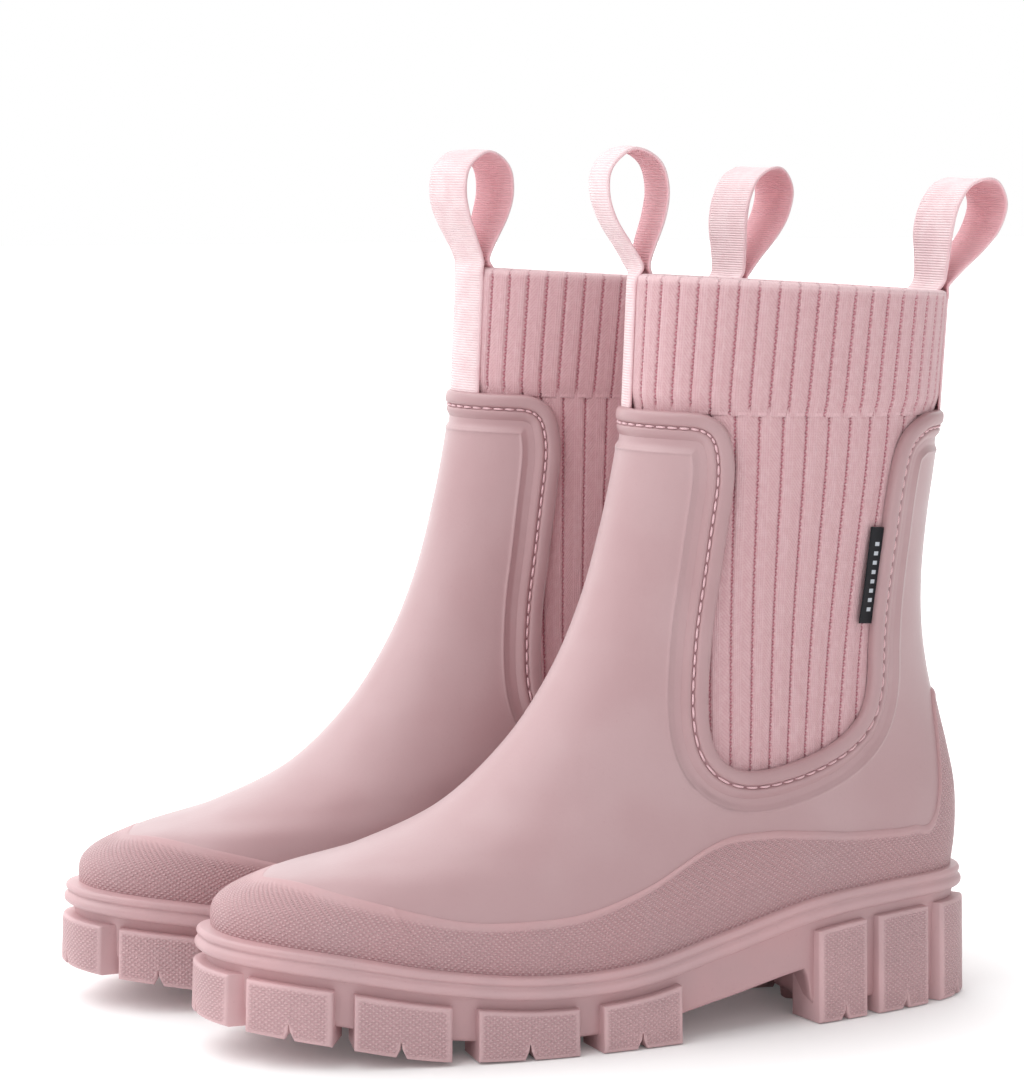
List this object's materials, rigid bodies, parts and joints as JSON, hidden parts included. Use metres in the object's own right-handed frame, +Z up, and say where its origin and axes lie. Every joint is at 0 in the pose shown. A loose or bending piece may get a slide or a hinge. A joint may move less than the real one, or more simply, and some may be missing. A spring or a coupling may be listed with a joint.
{
  "type": "rain boots",
  "caption": "Pair of ankle-high moulded rain boots with ribbed knit gaiters in open side panels, webbing pull loops and lugged soles with a stepped heel.",
  "frame": {"origin": "centre of the pair's outline on the floor", "axes": "+Z up, toes towards -Y, +X towards the outer side of the left boot"},
  "size_m": [0.201, 0.3276, 0.3123],
  "materials": {
    "sole_rubber": "satin moulded pink",
    "welt_rubber": "satin moulded pink",
    "textured_rubber": "fine diamond texture",
    "smooth_rubber": "smooth satin pink",
    "lining_fabric": "thin knit lining",
    "board": "pressed fibre board",
    "footbed_foam": "fabric-faced foam",
    "rib_knit": "rib knit",
    "cuff_knit": "rib knit, folded",
    "thread": "polyester thread",
    "webbing": "ribbed webbing",
    "label_fabric": "woven black"
  },
  "bodies": {
    "left_boot": {"left_outsole": "sole_rubber", "left_welt": "welt_rubber", "left_mudguard": "textured_rubber", "left_upper": "smooth_rubber", "left_lining": "lining_fabric", "left_insole_board": "board", "left_gaiter": "rib_knit", "left_cuff": "cuff_knit", "left_stitching": "thread", "left_front_anchor": "webbing", "left_rear_anchor": "webbing"},
    "left_front_loop": {"left_front_loop": "webbing"},
    "left_rear_loop": {"left_rear_loop": "webbing"},
    "left_label": {"left_label": "label_fabric"},
    "left_footbed": {"left_footbed": "footbed_foam"},
    "right_boot": {"right_outsole": "sole_rubber", "right_welt": "welt_rubber", "right_mudguard": "textured_rubber", "right_upper": "smooth_rubber", "right_lining": "lining_fabric", "right_insole_board": "board", "right_gaiter": "rib_knit", "right_cuff": "cuff_knit", "right_stitching": "thread", "right_front_anchor": "webbing", "right_rear_anchor": "webbing"},
    "right_front_loop": {"right_front_loop": "webbing"},
    "right_rear_loop": {"right_rear_loop": "webbing"},
    "right_label": {"right_label": "label_fabric"},
    "right_footbed": {"right_footbed": "footbed_foam"}
  },
  "joints": [
    {"name": "left_front_loop_tilt", "type": "hinge", "parent": "left_boot", "child": "left_front_loop", "pos_m": [0.04344, 0.02603, 0.2701], "axis": [-0.989, 0.1478, 0], "range_deg": [-40, 45], "stiffness_Nm_per_rad": 0.02},
    {"name": "left_rear_loop_tilt", "type": "hinge", "parent": "left_boot", "child": "left_rear_loop", "pos_m": [0.05966, 0.13795, 0.2632], "axis": [-0.999, -0.0436, 0], "range_deg": [-45, 27], "stiffness_Nm_per_rad": 0.02},
    {"name": "left_label_flap", "type": "hinge", "parent": "left_boot", "child": "left_label", "pos_m": [0.08569, 0.09756, 0.14448], "axis": [0.0624, 0.1047, 0.9925], "range_deg": [0, 45], "stiffness_Nm_per_rad": 0.001},
    {"name": "left_footbed_lift", "type": "hinge", "parent": "left_boot", "child": "left_footbed", "pos_m": [0.04325, -0.13035, 0.0426], "axis": [0.9981, -0.061, 0], "range_deg": [0, 8]},
    {"name": "right_front_loop_tilt", "type": "hinge", "parent": "right_boot", "child": "right_front_loop", "pos_m": [-0.05268, 0.00176, 0.2702], "axis": [-0.9833, -0.1822, 0], "range_deg": [-45, 45], "stiffness_Nm_per_rad": 0.02},
    {"name": "right_rear_loop_tilt", "type": "hinge", "parent": "right_boot", "child": "right_rear_loop", "pos_m": [-0.05966, 0.11595, 0.2632], "axis": [-0.989, -0.1478, 0], "range_deg": [-45, 36], "stiffness_Nm_per_rad": 0.02},
    {"name": "right_label_flap", "type": "hinge", "parent": "right_boot", "child": "right_label", "pos_m": [-0.08569, 0.07556, 0.14448], "axis": [-0.0624, 0.1047, 0.9925], "range_deg": [-45, 0], "stiffness_Nm_per_rad": 0.001},
    {"name": "right_footbed_lift", "type": "hinge", "parent": "right_boot", "child": "right_footbed", "pos_m": [-0.04325, -0.15235, 0.0426], "axis": [0.9981, 0.061, 0], "range_deg": [0, 8]},
    {"name": "right_boot_apart", "type": "slide", "parent": "left_boot", "child": "right_boot", "axis": [-1, 0, 0], "range_m": [0, 0.3]}
  ]
}
